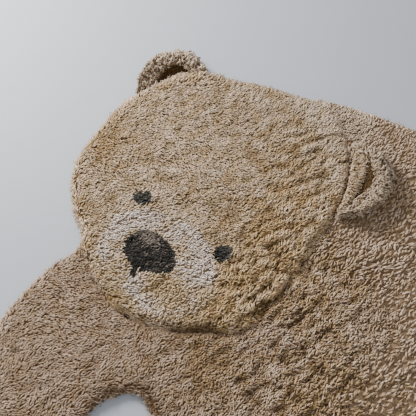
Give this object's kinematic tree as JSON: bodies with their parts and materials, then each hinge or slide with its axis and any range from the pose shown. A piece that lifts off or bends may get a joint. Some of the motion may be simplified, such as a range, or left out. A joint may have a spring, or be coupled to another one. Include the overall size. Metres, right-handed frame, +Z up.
{
  "type": "bear shaped kids rug",
  "caption": "Tufted shag floor rug in the outline of a walking bear that turns its face to the viewer, with a raised head, a clipped groove around it and cupped sewn-on ears.",
  "frame": {"origin": "middle of the bounding box, on the floor under the rug", "axes": "+X from the bear's head to its rump, +Y from its paws to its back, +Z up out of the pile"},
  "size_m": [1.142, 1.055, 0.0614],
  "materials": {
    "tan_pile": "curly tufted cotton yarn, matte",
    "ear_pile": "curly tufted cotton yarn, matte, greyer tan"
  },
  "bodies": {
    "root": {"rug": "tan_pile", "ear_left": "ear_pile", "ear_right": "ear_pile"}
  },
  "joints": []
}
